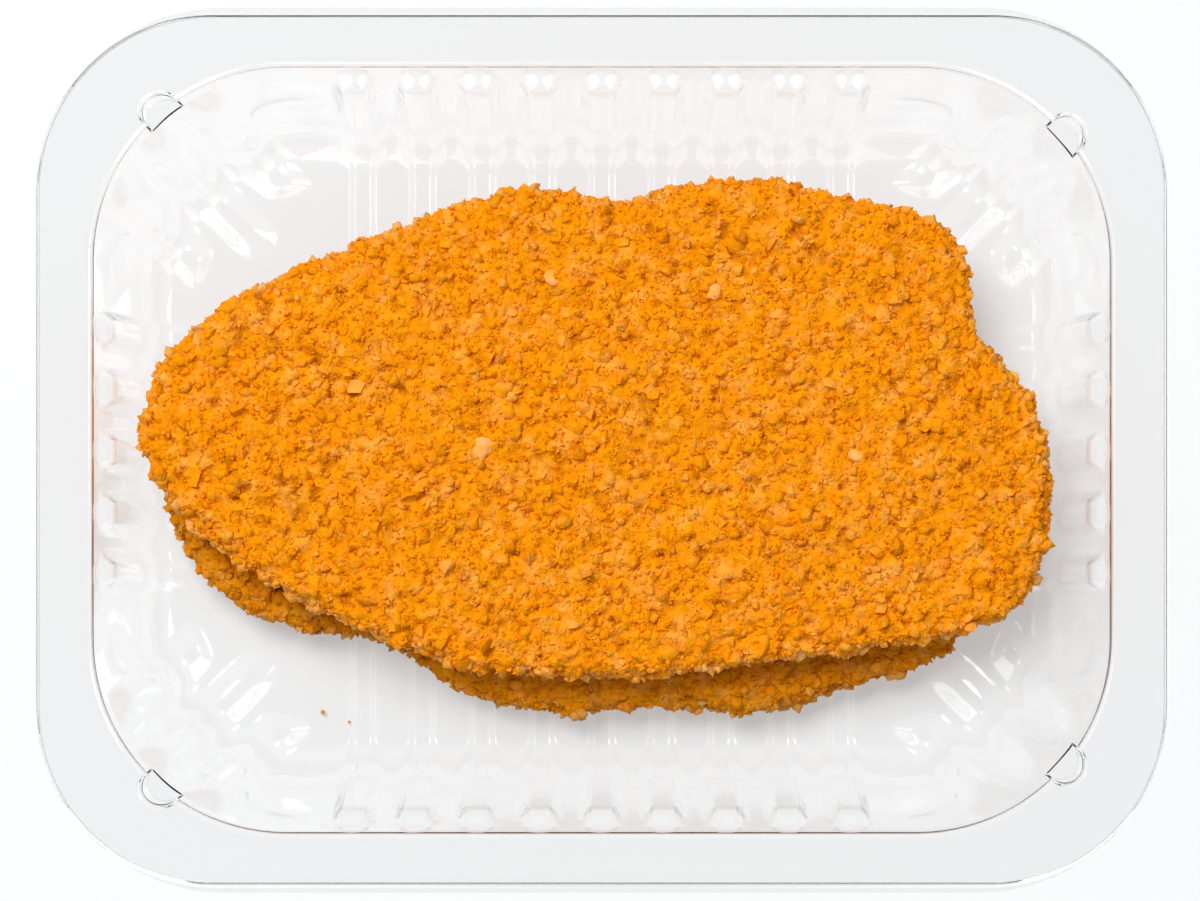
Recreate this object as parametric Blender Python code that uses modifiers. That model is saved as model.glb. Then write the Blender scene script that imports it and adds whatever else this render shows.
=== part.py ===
"""Two breaded schnitzels, one lying on the other, in an open clear plastic tray.

The tray is thermoformed from one sheet: a flat rim with a turned-down lip, walls with
ribs all round, three slanting fingers in each corner and ribs across its floor.
The frame is in metres with +Z up: X runs along the tray's length, Y along its width,
and the origin is the centre of the tray's underside.
"""

import math

import bmesh
import bpy
from mathutils import Vector

MM = 0.001  # the sizes below are millimetres

# --- Tray: the rim -----------------------------------------------------------
TRAY_LENGTH = 227.0
TRAY_WIDTH = 177.6
TRAY_HEIGHT = 40.0
SHEET = 0.5             # thickness of the formed sheet
RIM_LENGTH = 226.4      # flat top of the rim, inside the turned-down lip
RIM_WIDTH = 174.2
RIM_RADIUS = 35.2       # corner radius of the flat rim
LIP_RADIUS = 40.0       # corner radius of the lip's lower edge
LIP_DROP = 2.5

# --- Tray: the well ----------------------------------------------------------
MOUTH_LENGTH = 203.4    # where the wall starts, inside the rim
MOUTH_WIDTH = 152.9
MOUTH_RADIUS = 38.6
FLOOR_RADIUS = 30.0     # corner radius of the flat floor
WALL_RUN = 17.5         # how far the long walls lean in, from the mouth to the floor
SHORT_RUN = 0.72        # the short walls are steeper: their share of that run

# --- Tray: ribs and fingers --------------------------------------------------
RIB_PITCH = 12.55
RIBS_LONG = 9           # on each long wall, carried on across the floor
RIBS_SHORT = 5
RIB_TOP = 2.0           # half the width of a rib's flat top
RIB_BASE = 3.8          # half the width of its foot
FLOOR_RIB = 0.9         # height of the ribs across the floor
FINGERS = 3             # in each corner, side by side, slanting at 45 degrees
FINGER_PITCH = 12.3
FINGER_LINE = 19.3      # the middle finger's line: (x - y) / sqrt(2)
FINGER_ARCH = {0.0: 0.0, 0.25: 0.8, 0.5: 1.0, 0.75: 0.8}  # share of the pitch: height
LUG_RADIUS = 3.8        # half-moon dimples in the mouth's corners, which keep trays apart
LUG_LINE_RIGHT = 21.2   # their places, measured as the fingers' lines are
LUG_LINE_LEFT = 14.6    # nearer the long wall, so that turned trays don't nest

# --- Schnitzels --------------------------------------------------------------
THICKNESS = 12.0
CLEARANCE = 0.3         # between pieces that rest on each other
EDGE_INSET = 0.88       # the flat of the meat, as a share of its outline
EDGE_SWELL = 1.035      # the cage stands out this much, for the smoothing to pull in
EDGE_DROOP = 1.6        # how far the upper schnitzel's free edge hangs down
LOWER_OUTLINE = [
    (-90, -8), (-85.2, -18.6), (-78, -29), (-63, -36), (-47, -36), (-37.6, -41.4),
    (-30, -49), (-10, -53.6), (9, -50.7), (28, -53), (40, -51.4), (50.5, -46.6),
    (60, -45.2), (71.8, -38.8), (80, -27.4), (82, -10), (78, 8), (66, 22), (46, 34),
    (12, 42), (-26, 40.5), (-62, 28), (-83, 11),
]
UPPER_OUTLINE = [
    (-94.2, 1), (-91, 15), (-81, 28), (-60.4, 37.5), (-41, 45.4), (-22, 53),
    (-8, 53.4), (3, 49.4), (14, 54), (32, 56), (51.6, 50.6), (71.6, 47),
    (74.4, 34), (75.2, 20.6), (85.8, 15), (90.2, 2), (90.2, -12), (88.3, -24.6),
    (80.2, -34.6), (60, -39), (40, -41), (18, -44), (-5, -46), (-30, -43),
    (-50, -35), (-70, -25), (-84, -14),
]


def material(name, colour, roughness, alpha=1.0):
    """Return a plain Principled material."""
    made = bpy.data.materials.new(name)
    made.use_nodes = True
    shader = made.node_tree.nodes["Principled BSDF"]
    shader.inputs["Base Color"].default_value = (*colour, 1.0)
    shader.inputs["Roughness"].default_value = roughness
    shader.inputs["Metallic"].default_value = 0.0
    shader.inputs["Alpha"].default_value = alpha
    return made


def add_object(name, mesh, finish, collection):
    """Put a mesh into the model as a smooth-shaded object."""
    made = bpy.data.objects.new(name, mesh)
    collection.objects.link(made)
    mesh.materials.append(finish)
    mesh.shade_smooth()
    mesh.set_sharp_from_angle(angle=math.radians(40))
    return made


# --- The tray's sections -----------------------------------------------------
class Section:
    """One level line round the tray: a rounded rectangle at one height.

    rise is how far the ribs of the long walls, those of the short walls and the corner
    fingers stand out of it, slope is the direction they stand out in, in degrees from
    level, and has_lugs says whether the half-moon dimples reach out through it.
    """

    def __init__(self, half_x, half_y, radius, height, rise=(0, 0, 0), slope=0, has_lugs=False):
        self.half_x = half_x
        self.half_y = half_y
        self.radius = radius
        self.height = height
        self.rise_long, self.rise_short, self.rise_corner = rise
        self.inward = math.cos(math.radians(slope))
        self.upward = math.sin(math.radians(slope))
        self.has_lugs = has_lugs


def well_section(inset, height, rise=(0, 0, 0), slope=0, has_lugs=False):
    """A section of the well, inset from the mouth."""
    share = inset / WALL_RUN
    return Section(
        MOUTH_LENGTH / 2 - inset * SHORT_RUN,
        MOUTH_WIDTH / 2 - inset,
        MOUTH_RADIUS + (FLOOR_RADIUS - MOUTH_RADIUS) * share,
        height,
        rise,
        slope,
        has_lugs,
    )


def tray_sections():
    """The sections from the lip's lower edge, over the rim and down to the floor."""
    return [
        Section(TRAY_LENGTH / 2, TRAY_WIDTH / 2, LIP_RADIUS, TRAY_HEIGHT - LIP_DROP),
        Section(RIM_LENGTH / 2, RIM_WIDTH / 2, RIM_RADIUS, TRAY_HEIGHT),
        well_section(-1.6, TRAY_HEIGHT, has_lugs=True),
        well_section(0.0, TRAY_HEIGHT - 1.4, has_lugs=True),
        well_section(1.0, TRAY_HEIGHT - 4.2),
        well_section(2.2, TRAY_HEIGHT - 7.5, (2.4, 2.0, 1.4), 14),
        well_section(7.4, 10.0, (2.2, 1.6, 2.8), 18),
        well_section(11.0, 3.4, (1.7, 1.1, 2.6), 48),
        well_section(WALL_RUN, SHEET, (FLOOR_RIB, 0.0, 0.0), 90),
    ]


def rib_stations(count):
    """Along a wall: each rib's foot, top edge, top edge and foot, as (place, height)."""
    stations = []
    for number in range(count):
        middle = (number - (count - 1) / 2) * RIB_PITCH
        for side, height in ((-RIB_BASE, 0), (-RIB_TOP, 1), (RIB_TOP, 1), (RIB_BASE, 0)):
            stations.append((middle + side, height))
    return stations


def finger_stations():
    """Across a corner: places on (x - y) / sqrt(2) and the height of the finger there."""
    stations = []
    first = FINGER_LINE - FINGER_PITCH * FINGERS / 2
    for number in range(FINGERS):
        for share, height in FINGER_ARCH.items():
            stations.append((first + FINGER_PITCH * (number + share), height))
    stations.append((first + FINGER_PITCH * FINGERS, 0.0))
    return stations


def corner_point(section, line, height, lug_line):
    """A point of a corner on a slanting line, pushed in by a finger or out by a lug."""
    centre_x = section.half_x - section.radius
    centre_y = section.half_y - section.radius
    across = line - (centre_x - centre_y) / math.sqrt(2)
    push = section.rise_corner * height
    along = math.sqrt(section.radius ** 2 - across ** 2) - push * section.inward
    if section.has_lugs and abs(line - lug_line) < LUG_RADIUS:
        along += math.sqrt(LUG_RADIUS ** 2 - (line - lug_line) ** 2)
    x = centre_x + (along + across) / math.sqrt(2)
    y = centre_y + (along - across) / math.sqrt(2)
    return Vector((x, y, section.height + push * section.upward))


def quarter(section, lug_line):
    """The section's points from the middle of the +X wall to the middle of the +Y wall."""
    points = []
    for place, height in rib_stations(RIBS_SHORT):
        if place > 0:
            push = section.rise_short * height
            x = section.half_x - push * section.inward
            points.append(Vector((x, place, section.height + push * section.upward)))
    end_y = section.half_y - section.radius
    points.append(Vector((section.half_x, end_y, section.height)))
    for line, height in reversed(finger_stations()):
        points.append(corner_point(section, line, height, lug_line))
    end_x = section.half_x - section.radius
    points.append(Vector((end_x, section.half_y, section.height)))
    for place, height in reversed(rib_stations(RIBS_LONG)):
        if place > 0:
            push = section.rise_long * height
            y = section.half_y - push * section.inward
            points.append(Vector((place, y, section.height + push * section.upward)))
    return points


def section_points(section):
    """All the section's points, anticlockwise from the middle of the +X wall."""
    right = quarter(section, LUG_LINE_RIGHT)
    left = quarter(section, LUG_LINE_LEFT)
    back_left = [Vector((-p.x, p.y, p.z)) for p in reversed(left)]
    front_left = [Vector((-p.x, -p.y, p.z)) for p in left]
    front_right = [Vector((p.x, -p.y, p.z)) for p in reversed(right)]
    return right + back_left + front_left + front_right


def add_floor(bm, ring):
    """Close the well: strips across the floor between the long walls, and two flat ends."""
    count = len(ring)
    in_quarter = count // 4
    long_side = sum(1 for place, _ in rib_stations(RIBS_LONG) if place > 0) + 1
    back_start = in_quarter - long_side
    strips = 2 * long_side - 1
    for step in range(strips):
        back = back_start + step
        front = count - 1 - back
        bm.faces.new((ring[back], ring[back + 1], ring[front - 1], ring[front]))
    bm.faces.new([ring[i] for i in range(-back_start - 1, back_start + 1)])
    left = back_start + strips
    bm.faces.new([ring[i] for i in range(left, count - left)])


def make_tray(finish, collection):
    """The tray: sections lofted into one sheet, thickened outward and pressed level."""
    bm = bmesh.new()
    rings = []
    for section in tray_sections():
        rings.append([bm.verts.new(point * MM) for point in section_points(section)])
    for outer, inner in zip(rings, rings[1:]):
        for step in range(len(outer)):
            after = (step + 1) % len(outer)
            bm.faces.new((outer[step], outer[after], inner[after], inner[step]))
    add_floor(bm, rings[-1])
    bmesh.ops.recalc_face_normals(bm, faces=bm.faces)
    if sum(face.normal.z * face.calc_area() for face in bm.faces) < 0:
        bmesh.ops.reverse_faces(bm, faces=bm.faces)
    mesh = bpy.data.meshes.new("tray_sheet")
    bm.to_mesh(mesh)
    bm.free()

    tray = add_object("tray", mesh, finish, collection)
    solidify = tray.modifiers.new("Sheet thickness", "SOLIDIFY")
    solidify.thickness = SHEET * MM
    solidify.offset = -1.0
    solidify.use_even_offset = True
    solidify.use_quality_normals = True

    # The underside of the floor is pressed level, so that the tray rests flat.
    depsgraph = bpy.context.evaluated_depsgraph_get()
    solid = bpy.data.meshes.new_from_object(tray.evaluated_get(depsgraph))
    tray.modifiers.remove(solidify)
    tray.data = solid
    for vertex in solid.vertices:
        if vertex.co.z < SHEET * MM / 2:
            vertex.co.z = 0.0
    solid.name = "tray"
    bpy.data.meshes.remove(mesh)
    return tray


# --- The schnitzels ----------------------------------------------------------
def outline_ring(bm, outline, scale, height, droops):
    """A ring of cage points: the outline scaled about its centre, at one height."""
    ring = []
    for (x, y), droop in zip(outline, droops):
        ring.append(bm.verts.new(Vector((x * scale, y * scale, height - droop)) * MM))
    return ring


def free_edge(outline):
    """How far each outline point hangs: the back and both ends have nothing below them."""
    droops = []
    for x, y in outline:
        back = min(max((y - 30.0) / 15.0, 0.0), 1.0)
        end = min(max((abs(x) - 80.0) / 10.0, 0.0), 1.0)
        droops.append(EDGE_DROOP * max(back, end))
    return droops


def make_schnitzel(name, outline, bottom, droops, finish, collection):
    """A flat cut with a soft round edge: a cage of four rings, smoothed."""
    bm = bmesh.new()
    top = bottom + THICKNESS
    level = [0.0] * len(outline)
    rings = [
        outline_ring(bm, outline, EDGE_INSET, bottom, level),
        outline_ring(bm, outline, EDGE_SWELL, bottom + THICKNESS * 0.12, droops),
        outline_ring(bm, outline, EDGE_SWELL, top - THICKNESS * 0.12, droops),
        outline_ring(bm, outline, EDGE_INSET, top, level),
    ]
    for low, high in zip(rings, rings[1:]):
        for step in range(len(low)):
            after = (step + 1) % len(low)
            bm.faces.new((low[step], low[after], high[after], high[step]))
    bm.faces.new(rings[0])
    bm.faces.new(rings[-1])
    bmesh.ops.recalc_face_normals(bm, faces=bm.faces)
    mesh = bpy.data.meshes.new(name)
    bm.to_mesh(mesh)
    bm.free()
    piece = add_object(name, mesh, finish, collection)
    smooth = piece.modifiers.new("Soft edge", "SUBSURF")
    smooth.levels = 2
    smooth.render_levels = 2
    return piece


def main():
    """Clear the scene and build the three pieces."""
    for old in list(bpy.data.objects):
        bpy.data.objects.remove(old, do_unlink=True)
    parts = bpy.data.collections.new("schnitzel")
    bpy.context.scene.collection.children.link(parts)

    clear_plastic = material("clear_plastic", (0.92, 0.93, 0.93), 0.06, alpha=0.3)
    crumb_coat = material("crumb_coat", (0.84, 0.30, 0.012), 0.85)

    make_tray(clear_plastic, parts)
    lower_bottom = SHEET + FLOOR_RIB + CLEARANCE
    upper_bottom = lower_bottom + THICKNESS + CLEARANCE
    level = [0.0] * len(LOWER_OUTLINE)
    make_schnitzel("schnitzel_lower", LOWER_OUTLINE, lower_bottom, level, crumb_coat, parts)
    hanging = free_edge(UPPER_OUTLINE)
    make_schnitzel("schnitzel_upper", UPPER_OUTLINE, upper_bottom, hanging, crumb_coat, parts)


main()
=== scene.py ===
# %% [markdown]
# # Two breaded schnitzels in a clear tray
# This lesson builds a supermarket tray of formed plastic with two ready-to-cook
# breaded schnitzels in it, one lying on the other. It starts from a plain model made for
# physics, the frame, and replaces each of its three parts with a detailed one.
# We go from the outside in: the tray, the two cuts of meat in their coat of crumbs,
# the loose crumbs, and then the studio.

import math

import bmesh
import bpy
import numpy as np
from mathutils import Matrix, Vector, noise
from mathutils.bvhtree import BVHTree
from mathutils.geometry import delaunay_2d_cdt
from mathutils.kdtree import KDTree


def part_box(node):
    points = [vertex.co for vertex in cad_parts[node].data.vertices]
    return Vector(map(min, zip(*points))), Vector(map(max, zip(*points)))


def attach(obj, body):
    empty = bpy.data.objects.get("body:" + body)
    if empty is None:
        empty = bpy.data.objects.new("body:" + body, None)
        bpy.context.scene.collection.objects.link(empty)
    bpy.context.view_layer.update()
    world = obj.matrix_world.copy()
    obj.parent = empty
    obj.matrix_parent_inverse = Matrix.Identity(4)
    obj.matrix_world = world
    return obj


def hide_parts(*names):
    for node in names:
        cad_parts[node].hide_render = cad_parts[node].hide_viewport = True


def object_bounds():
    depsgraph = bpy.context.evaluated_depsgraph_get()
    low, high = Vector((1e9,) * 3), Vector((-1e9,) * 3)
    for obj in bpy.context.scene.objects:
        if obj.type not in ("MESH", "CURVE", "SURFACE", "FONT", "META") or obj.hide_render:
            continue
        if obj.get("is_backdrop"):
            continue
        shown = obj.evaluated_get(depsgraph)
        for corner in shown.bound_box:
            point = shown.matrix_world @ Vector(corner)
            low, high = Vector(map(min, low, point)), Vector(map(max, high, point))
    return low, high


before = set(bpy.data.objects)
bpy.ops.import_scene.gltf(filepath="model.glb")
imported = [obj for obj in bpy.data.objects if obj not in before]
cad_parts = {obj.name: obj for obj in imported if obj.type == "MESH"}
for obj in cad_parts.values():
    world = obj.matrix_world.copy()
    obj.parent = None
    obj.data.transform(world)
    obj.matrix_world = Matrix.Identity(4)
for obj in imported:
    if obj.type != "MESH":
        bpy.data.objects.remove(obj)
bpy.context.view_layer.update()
MM = 0.001  # every size below is in millimetres and is multiplied by this
for name in ("tray", "schnitzel_lower", "schnitzel_upper"):
    low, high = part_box(name)
    print(name, [round(v / MM, 1) for v in low], [round(v / MM, 1) for v in high])

# %% [markdown]
# ## The tray
# The real tray is one sheet of clear plastic, heated and sucked down into a mould.
# So every part of it, rim, ribs, fingers and floor, is the same thin skin bent into
# shape. We could cut it out of a block with booleans, but a formed sheet is easier to
# get right as a loft: level lines that run all the way round the tray, one below the
# other, joined with faces. Ribs are then only places where a line wanders inward.
#
# First come the sizes. They are those of the frame, so that both models agree. Only the
# lip's corners are a little tighter, because its edge would else cut inside the rim.

# %% Sizes of the tray
SHEET = 0.5             # thickness of the plastic
HEIGHT = 40.0
LIP = (113.5, 88.8, 37.8)    # half length, half width and corner radius of the lip
RIM = (113.2, 87.1, 35.2)    # the same for the flat rim
MOUTH = (101.7, 76.45, 38.6)
FLOOR_RADIUS = 30.0
WALL_RUN = 17.5         # how far the long walls lean in, from the mouth to the floor
SHORT_RUN = 0.72        # the short walls are steeper, by this share
RIB_PITCH = 12.55
RIBS_LONG = 9
RIBS_SHORT = 5
RIB_REACH = {RIBS_LONG: 5.4, RIBS_SHORT: 3.8}  # how far the last rib of a wall may reach
FINGERS = 3             # in each corner, slanting at 45 degrees
FINGER_PITCH = 12.3
FINGER_LINE = 19.3      # the middle finger's place on the slanting line
LUG_RADIUS = 3.8        # half-moon pockets in the mouth's corners
LUG_LINE_RIGHT = 21.2
LUG_LINE_LEFT = 14.6
tray_low, tray_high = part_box("tray")
print("tray", [round((h - l) / MM, 1) for l, h in zip(tray_low, tray_high)], "mm")

# %% [markdown]
# ### The path down the wall
# Seen in a cut, the sheet runs level along the rim, turns over a small round, leans
# down at 14.5 degrees and sweeps out into the floor. A quadratic Bezier curve makes
# that last sweep. Each point of the path also gets the direction that stands square to
# the sheet, because ribs are pushed out along it.

# %% Path from the rim to the floor
MOUTH_ROUND = 1.6       # radius of the round at the mouth
WALL_LEAN = math.radians(14.5)
WALL_FOOT = (7.4, 10.0)      # where the sweep into the floor starts: inset, height
SWEEP_HANDLE = (9.76, 0.5)
SHELF = 35.8            # height of the half-moon pockets' floor
ROUND_TURN = 75.5       # degrees the round turns through, before the wall's lean takes over
ROUND_SHARE = 0.88


def bezier(start, handle, end, share):
    """A point on a quadratic Bezier curve."""
    keep = 1.0 - share
    return tuple(
        keep * keep * a + 2 * keep * share * h + share * share * b
        for a, h, b in zip(start, handle, end)
    )


def wall_path():
    """Points (inset from the mouth, height) from the inner edge of the rim to the floor."""
    points = []
    for turn in (0.0, 0.22, 0.45, 0.68, ROUND_SHARE):
        angle = turn * math.radians(ROUND_TURN) / ROUND_SHARE
        inset = -MOUTH_ROUND + MOUTH_ROUND * math.sin(angle)
        points.append((inset, HEIGHT - MOUTH_ROUND + MOUTH_ROUND * math.cos(angle)))
    for height in (37.4, 36.3, SHELF + 0.03, SHELF, 35.3, 34.7, 34.1, 33.6, 33.1, 32.4, 31.4):
        points.append((WALL_FOOT[0] - (height - WALL_FOOT[1]) * math.tan(WALL_LEAN), height))
    for height in (30.0, 26.0, 21.0, 16.0, 12.5):
        points.append((WALL_FOOT[0] - (height - WALL_FOOT[1]) * math.tan(WALL_LEAN), height))
    for step in range(12):
        points.append(bezier(WALL_FOOT, SWEEP_HANDLE, (WALL_RUN, SHEET), step / 11))
    return points


def square_to(path):
    """For each point of the path, the direction (inward, upward) square to the sheet."""
    directions = []
    for index in range(len(path)):
        before = path[max(index - 1, 0)]
        after = path[min(index + 1, len(path) - 1)]
        run, drop = after[0] - before[0], before[1] - after[1]
        length = math.hypot(run, drop)
        directions.append((drop / length, run / length))
    directions[-1] = (0.0, 1.0)
    return directions


WALL = wall_path()
print("wall path:", len(WALL), "points, from", WALL[0], "to", WALL[-1])

# %% [markdown]
# ### How far ribs and fingers stand out
# A rib begins under the mouth with a short slanting cap, is full at its lower edge, gets
# slimmer towards the foot, and carries on across the floor as a low bar. Three slanting
# fingers fill each corner. Both are described by two small curves: how high they are at
# each height of the wall, and how high they are across their width. Multiplying the two
# gives the whole shape.

# %% Rib and finger curves
RIB_CAP = ((30.0, 1.0), (31.4, 0.985), (32.4, 0.94), (33.1, 0.86), (33.6, 0.77), (34.1, 0.65),
           (34.7, 0.46), (35.3, 0.24), (35.8, 0.07), (36.3, 0.0))    # height: share of the rise
CAP_ARCH, CAP_WIDTH = 1.4, 3.8      # how much lower the cap starts, this far from the middle
RIB_RISE = ((0.0, 0.9), (SHEET, 0.9), (3.4, 1.7), (10.0, 2.2), (32.0, 2.9))
SHORT_RISE = ((0.0, 0.5), (SHEET, 0.5), (3.4, 1.1), (10.0, 1.6), (32.0, 2.4))
FINGER_RISE = ((0.0, 1.7), (SHEET, 1.7), (3.4, 2.5), (10.0, 2.8), (30.0, 1.6), (36.2, 0.0))


def rise_at(curve, height):
    """Read a rise curve at a height."""
    return float(np.interp(height, [h for h, _ in curve], [r for _, r in curve]))


def soft_step(value, low, high):
    """0 below low, 1 above high and an S-shaped ramp between."""
    share = min(max((value - low) / (high - low), 0.0), 1.0)
    return share * share * (3.0 - 2.0 * share)


def rib_shape(across, height, limit=9.0):
    """Height of a rib across its width: a flat top and flanks that round into troughs."""
    low = soft_step(34.0 - height, 0.0, 30.0)
    on_floor = soft_step(1.35 - height, 0.0, 0.85)
    flat = min(1.9 - 0.6 * low + 0.3 * on_floor, limit - 2.9)
    foot = min(5.0 + 0.4 * low - 2.5 * on_floor, limit)
    return 1.0 - soft_step(abs(across), flat, foot)


def finger_shape(across):
    """Height of a finger across its width: round on top, with a trough on each side."""
    return 1.0 - soft_step(abs(across) / (FINGER_PITCH / 2), 0.08, 0.96)


for across in (0, 2, 3, 4, 6):
    print(across, "mm from the middle: rib", round(rib_shape(across, 20.0), 2),
          "finger", round(finger_shape(across), 2))

# %% [markdown]
# ### Places along the level lines
# All level lines need the same number of points, because each point is joined to the
# one below it. So we list the places once, for a quarter of the tray, close together
# where a rib or a finger bends and further apart where the sheet is straight. The
# pockets sit differently on the right and on the left, so each side has its own list.

# %% Places for a quarter of the tray
RIB_PLACES = (0.0, 1.2, 1.7, 2.2, 2.6, 3.0, 3.4, 3.75, 4.2, 4.7, 5.2, 5.75)
FINGER_PLACES = 12      # to each finger
FINGER_FIRST = FINGER_LINE - FINGER_PITCH * FINGERS / 2
FINGER_LAST = FINGER_LINE + FINGER_PITCH * FINGERS / 2
ARC_STEPS = 5


def rib_places(count):
    """Places along a wall from its middle outward, for ribs at an even pitch."""
    places = []
    for number in range(count):
        middle = (number - (count - 1) / 2) * RIB_PITCH
        for offset in RIB_PLACES:
            places += [middle - offset, middle + offset]
    last = (count - 1) / 2 * RIB_PITCH + RIB_REACH[count]
    return sorted({round(place, 3) for place in places if -0.001 < place <= last})


def finger_places(lug_line):
    """Places across a corner, from the short wall's side to the long wall's side."""
    steps = FINGERS * FINGER_PLACES
    places = {round(FINGER_FIRST + step * FINGER_PITCH / FINGER_PLACES, 3)
              for step in range(steps + 1)}
    pocket = {round(lug_line + LUG_RADIUS * math.sin(math.radians(turn)), 3)
              for turn in range(-90, 91, 10)}
    kept = {place for place in places if min(abs(place - p) for p in pocket) > 0.25}
    return sorted(kept | pocket, reverse=True)


def quarter_places(lug_line):
    """Every place of a quarter, from the middle of the short wall to that of the long."""
    places = [("short", place) for place in rib_places(RIBS_SHORT)]
    places += [("before", step / ARC_STEPS) for step in range(ARC_STEPS)]
    places += [("corner", place) for place in finger_places(lug_line)]
    places += [("after", step / ARC_STEPS) for step in range(1, ARC_STEPS + 1)]
    places += [("long", place) for place in reversed(rib_places(RIBS_LONG))]
    return places


RIGHT_PLACES = quarter_places(LUG_LINE_RIGHT)
LEFT_PLACES = quarter_places(LUG_LINE_LEFT)
print("places in a quarter:", len(RIGHT_PLACES), "right,", len(LEFT_PLACES), "left")

# %% [markdown]
# ### From a place to a point
# A level line is a rounded rectangle. On a straight wall a place is a distance along
# it. In a corner it is a distance across the fingers, which makes the fingers run
# parallel instead of fanning out, as the real ones do.

# %% Points of a level line
DIAGONAL = math.sqrt(2.0)


class LevelLine:
    """A rounded rectangle at one height, and what stands out of it."""

    def __init__(self, half_x, half_y, radius, height, square=None, has_lugs=False):
        self.half_x, self.half_y = half_x, half_y
        self.radius, self.height = radius, height
        self.centre_x, self.centre_y = half_x - radius, half_y - radius
        self.square = square        # (inward, upward), or None on the rim
        self.has_lugs = has_lugs

    def corner_angle(self, place):
        """The angle round the corner, from the short wall, of a place across it."""
        across = place - (self.centre_x - self.centre_y) / DIAGONAL
        return math.pi / 4 - math.asin(max(-1.0, min(1.0, across / self.radius)))

    def on_arc(self, angle):
        """A point of the corner's round."""
        return (self.centre_x + self.radius * math.cos(angle),
                self.centre_y + self.radius * math.sin(angle))


def rib_push(line, curve, place, count):
    """How far the nearest rib of a wall pushes a line's point out of it."""
    if line.square is None:
        return 0.0
    first = -(count - 1) / 2
    number = min(max(round(place / RIB_PITCH - first), 0), count - 1)
    across = place - (number + first) * RIB_PITCH
    limit = RIB_REACH[count] if number == count - 1 and across > 0.0 else RIB_PITCH / 2
    cap = rise_at(RIB_CAP, line.height + CAP_ARCH * (across / CAP_WIDTH) ** 2)
    return rise_at(curve, line.height) * cap * rib_shape(across, line.height, limit)


def finger_push(line, place):
    """How far a corner finger pushes a line's point out of it."""
    if line.square is None or not FINGER_FIRST < place < FINGER_LAST:
        return 0.0
    across = (place - FINGER_FIRST) % FINGER_PITCH - FINGER_PITCH / 2
    return rise_at(FINGER_RISE, line.height) * finger_shape(across)


def line_point(line, kind, place, lug_line):
    """The point (x, y, z) of a level line at one place of the first quarter."""
    inward, upward = line.square or (1.0, 0.0)
    if kind == "short":
        push = rib_push(line, SHORT_RISE, place, RIBS_SHORT)
        return (line.half_x - push * inward, place, line.height + push * upward)
    if kind == "long":
        push = rib_push(line, RIB_RISE, place, RIBS_LONG)
        return (place, line.half_y - push * inward, line.height + push * upward)
    if kind == "before":
        return (*line.on_arc(line.corner_angle(FINGER_LAST) * place), line.height)
    if kind == "after":
        start = line.corner_angle(FINGER_FIRST)
        return (*line.on_arc(start + (math.pi / 2 - start) * place), line.height)
    push = finger_push(line, place)
    outward = -push * inward
    if line.has_lugs and abs(place - lug_line) < LUG_RADIUS:
        outward += math.sqrt(LUG_RADIUS ** 2 - (place - lug_line) ** 2)
    x, y = line.on_arc(line.corner_angle(place))
    return (x + outward / DIAGONAL, y + outward / DIAGONAL, line.height + push * upward)


def whole_line(line):
    """All points of a level line, anticlockwise from the middle of the right wall."""
    right = [line_point(line, kind, place, LUG_LINE_RIGHT) for kind, place in RIGHT_PLACES]
    left = [line_point(line, kind, place, LUG_LINE_LEFT) for kind, place in LEFT_PLACES]
    points = right[:-1] + [(-x, y, z) for x, y, z in reversed(left)][:-1]
    points += [(-x, -y, z) for x, y, z in left][:-1]
    points += [(x, -y, z) for x, y, z in reversed(right)][:-1]
    return points


# %% The level lines, from the lip to the floor
RIM_EDGE = ((0.22, 1.0, 2.46), (0.12, 0.35, 2.4), (0.03, 0.06, 2.15), (0.0, 0.0, 1.7),
            (0.0, 0.0, 0.5), (-0.05, -0.05, 0.2), (-0.25, -0.25, 0.03), (-0.45, -0.45, 0.0),
            (-0.7, -0.7, 0.0))      # out of the rim in x and y, and down
RIBS_BELOW = 36.25      # ribs and fingers push only the lines under this height


def tray_lines():
    """Level lines over the rim and down the wall."""
    half_x, half_y, radius = RIM
    lines = [LevelLine(*LIP, HEIGHT - 2.5)]
    for out_x, out_y, drop in RIM_EDGE:
        lines.append(LevelLine(half_x + out_x, half_y + out_y, radius + 1.5 * out_y, HEIGHT - drop))
    half_x, half_y, radius = MOUTH
    lines.append(LevelLine(
        half_x + 2.2 * SHORT_RUN, half_y + 2.2, radius, HEIGHT, has_lugs=True))
    directions = square_to(WALL)
    for number, (inset, height) in enumerate(WALL):
        share = max(inset, -MOUTH_ROUND) / WALL_RUN
        lines.append(LevelLine(
            half_x - inset * SHORT_RUN,
            half_y - inset,
            radius + (FLOOR_RADIUS - radius) * share,
            height,
            directions[number] if height < RIBS_BELOW else None,
            has_lugs=height > SHELF + 0.01,
        ))
    return lines


LINES = tray_lines()
print("level lines:", len(LINES), "of", len(whole_line(LINES[0])), "points each")

# %% [markdown]
# ### The floor
# Between the long walls the floor is a ladder of strips, so the ribs run straight
# across it. The two ends are filled with small even triangles by a Delaunay
# triangulation, because there the fingers end in round noses that lie on the floor, and
# the short walls' ribs fade out.

# %% Shape of the floor's ends
NOSE_LENGTHS = (4.0, 15.0, 5.0)     # how far each finger reaches over the floor
TAIL_LENGTH = 8.0                   # the same for the short walls' ribs
END_GRID = 1.2                      # spacing of the points there
ROW_SHARE = math.sqrt(3.0) / 2


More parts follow.
